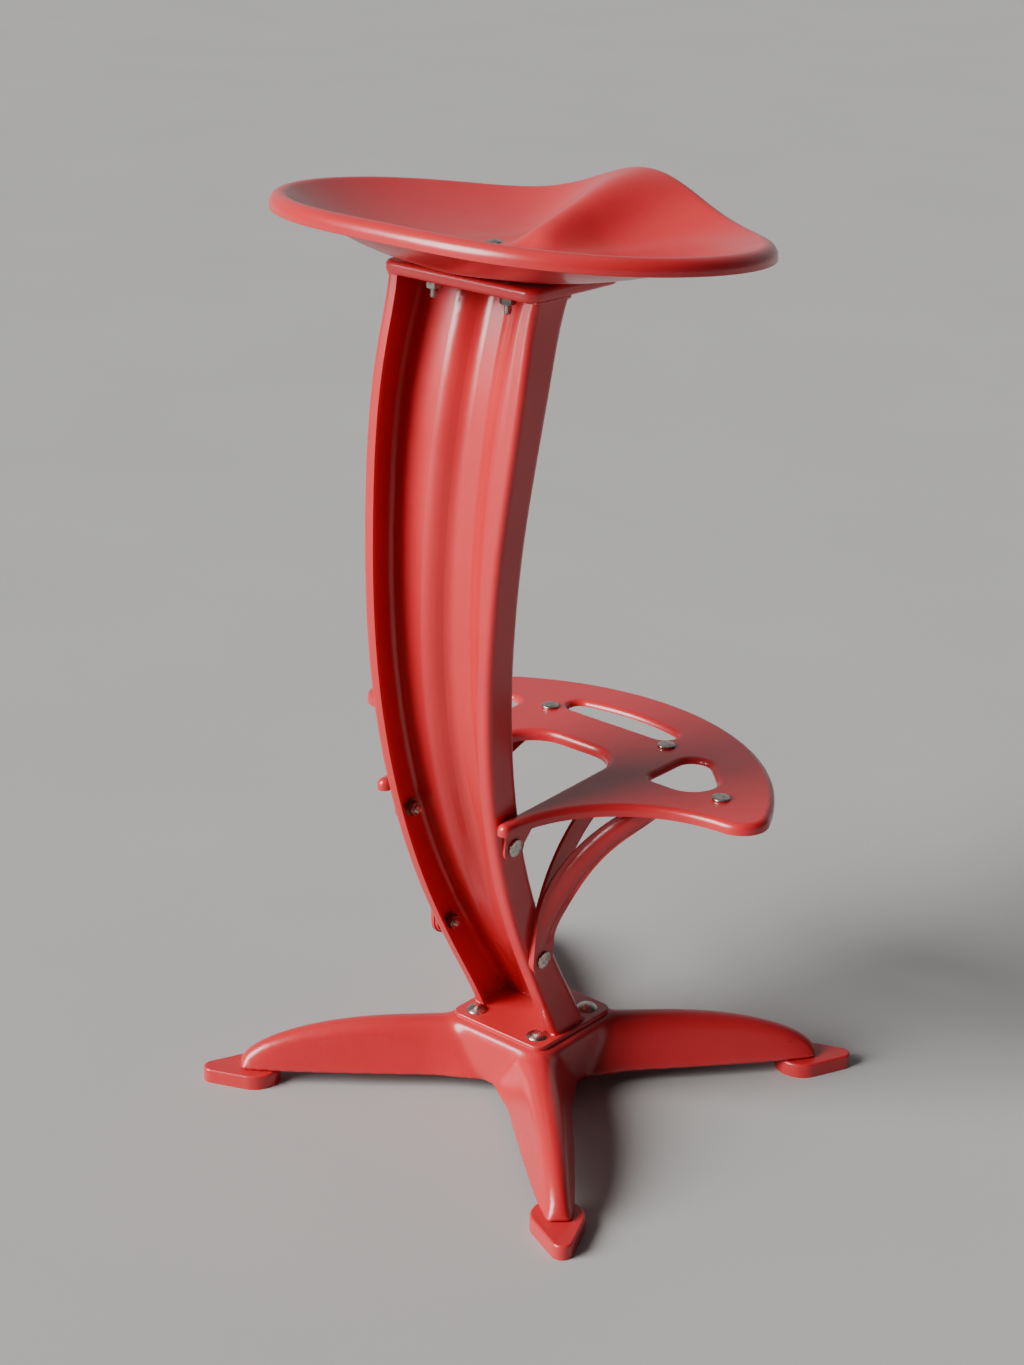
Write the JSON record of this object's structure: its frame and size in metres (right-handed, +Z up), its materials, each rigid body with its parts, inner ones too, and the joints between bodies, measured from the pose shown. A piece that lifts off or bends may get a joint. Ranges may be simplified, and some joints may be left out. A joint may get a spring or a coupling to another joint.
{
  "type": "industrial stool",
  "caption": "Industrial stool in red enamelled steel: a pressed saddle seat on a bowed ribbed channel column, with a pierced footrest and a star-shaped cast base.",
  "frame": {"origin": "on the floor, under the middle of the whole object's bounding box", "axes": "+Z is up, -Y is the way the sitter faces, +X is the sitter's left; X = 0 is the mirror plane"},
  "size_m": [0.4204, 0.4054, 0.7738],
  "materials": {
    "red_enamel": "gloss",
    "red_enamel_casting": "gloss",
    "bolt_steel": "satin",
    "nut_steel": "satin"
  },
  "bodies": {
    "root": {"seat_pan": "red_enamel", "column": "red_enamel", "footrest_plate": "red_enamel", "inner_strut_left": "red_enamel", "inner_strut_right": "red_enamel", "outer_strut_left": "red_enamel", "outer_strut_right": "red_enamel", "base_plate": "red_enamel", "cap_plate": "red_enamel_casting", "base_star": "red_enamel_casting", "foot_pad_rear_left": "red_enamel_casting", "foot_pad_rear_right": "red_enamel_casting", "foot_pad_front_left": "red_enamel_casting", "foot_pad_front_right": "red_enamel_casting", "seat_bolts": "bolt_steel", "base_bolts": "bolt_steel", "footrest_bolts": "bolt_steel", "arm_bolts": "bolt_steel", "strut_bolts": "bolt_steel", "foot_screws": "bolt_steel", "seat_washers": "nut_steel", "seat_nuts": "nut_steel", "base_washers": "nut_steel", "base_nuts": "nut_steel", "footrest_washers": "nut_steel", "footrest_nuts": "nut_steel", "arm_washers": "nut_steel", "arm_nuts": "nut_steel", "strut_washers": "nut_steel", "strut_nuts": "nut_steel"}
  },
  "joints": []
}
